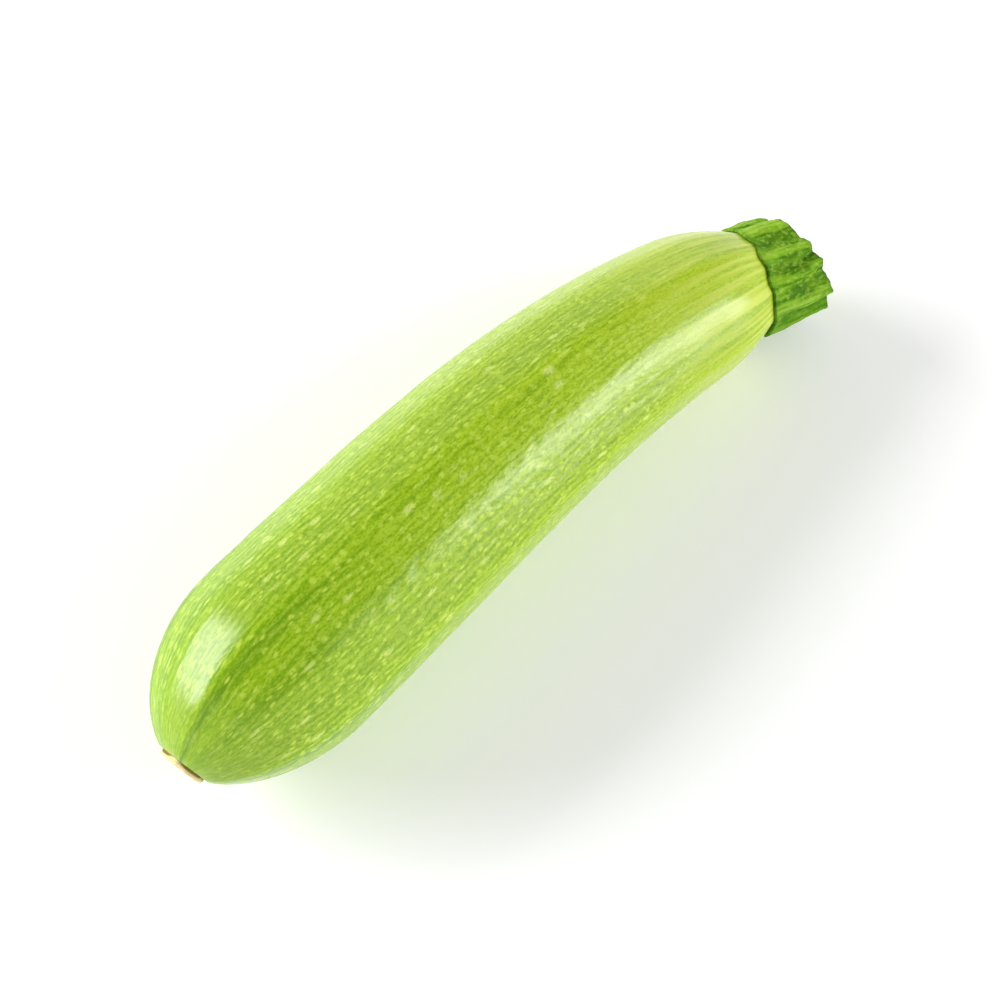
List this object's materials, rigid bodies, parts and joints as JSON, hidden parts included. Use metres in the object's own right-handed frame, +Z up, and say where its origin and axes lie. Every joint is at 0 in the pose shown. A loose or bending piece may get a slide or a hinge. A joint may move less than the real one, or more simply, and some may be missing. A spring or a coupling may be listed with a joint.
{
  "type": "courgette",
  "caption": "Whole pale green courgette lying on its side, slightly curved, with a ridged cut stalk at one end and a corky blossom scar at the other.",
  "frame": {"origin": "on the surface that the courgette lies on, under the middle of its bounding box", "axes": "+X along the fruit from the blossom scar to the stalk, +Y to the outer side of its curve, +Z up"},
  "size_m": [0.2008, 0.055, 0.0484],
  "materials": {
    "skin": "gloss",
    "stalk": "matte",
    "scar": "matte"
  },
  "bodies": {
    "root": {"fruit": "skin", "stalk": "stalk", "blossom_scar": "scar"}
  },
  "joints": []
}
